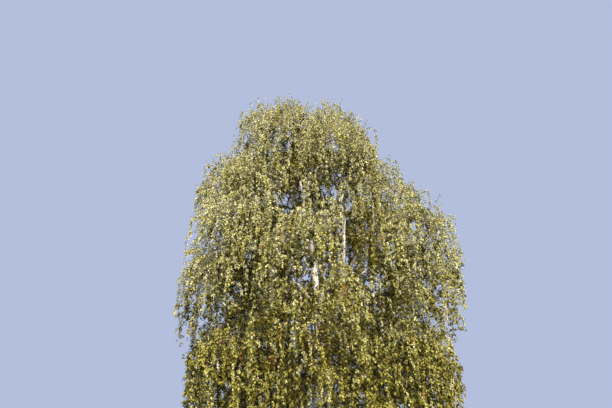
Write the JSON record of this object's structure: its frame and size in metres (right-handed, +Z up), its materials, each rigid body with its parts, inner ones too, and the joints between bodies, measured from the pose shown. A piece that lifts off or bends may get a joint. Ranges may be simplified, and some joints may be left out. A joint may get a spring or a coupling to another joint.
{
  "type": "weeping silver birch tree",
  "caption": "Full-grown birch of weeping habit: a white trunk forks into upright leaders whose arching boughs carry curtains of hanging twigs and small leaves.",
  "frame": {"origin": "centre of the flat cut under the trunk, at ground level", "axes": "+Z up the trunk, -Y towards the side seen in the picture, +X to the right of that side"},
  "size_m": [12.4332, 12.9851, 17.3752],
  "materials": {
    "bark": "papery, matt",
    "foliage": "matt leaf"
  },
  "bodies": {
    "root": {"trunk": "bark", "leader_left": "bark", "leader_right": "bark", "bough_low_1": "bark", "bough_low_2": "bark", "bough_low_3": "bark", "bough_low_4": "bark", "bough_low_5": "bark", "bough_low_6": "bark", "bough_low_7": "bark", "bough_middle_1": "bark", "bough_middle_2": "bark", "bough_middle_3": "bark", "bough_middle_4": "bark", "bough_middle_5": "bark", "bough_middle_6": "bark", "bough_middle_7": "bark", "bough_middle_8": "bark", "bough_upper_1": "bark", "bough_upper_2": "bark", "bough_upper_3": "bark", "bough_upper_4": "bark", "bough_upper_5": "bark", "bough_upper_6": "bark", "bough_upper_7": "bark", "bough_high_1": "bark", "bough_high_2": "bark", "bough_high_3": "bark", "bough_high_4": "bark", "bough_high_5": "bark", "foliage_low_1": "foliage", "foliage_low_2": "foliage", "foliage_low_3": "foliage", "foliage_low_4": "foliage", "foliage_low_5": "foliage", "foliage_low_6": "foliage", "foliage_low_7": "foliage", "foliage_middle_1": "foliage", "foliage_middle_2": "foliage", "foliage_middle_3": "foliage", "foliage_middle_4": "foliage", "foliage_middle_5": "foliage", "foliage_middle_6": "foliage", "foliage_middle_7": "foliage", "foliage_middle_8": "foliage", "foliage_upper_1": "foliage", "foliage_upper_2": "foliage", "foliage_upper_3": "foliage", "foliage_upper_4": "foliage", "foliage_upper_5": "foliage", "foliage_upper_6": "foliage", "foliage_upper_7": "foliage", "foliage_high_1": "foliage", "foliage_high_2": "foliage", "foliage_high_3": "foliage", "foliage_high_4": "foliage", "foliage_high_5": "foliage", "foliage_top_left": "foliage", "foliage_top_right": "foliage"}
  },
  "joints": []
}
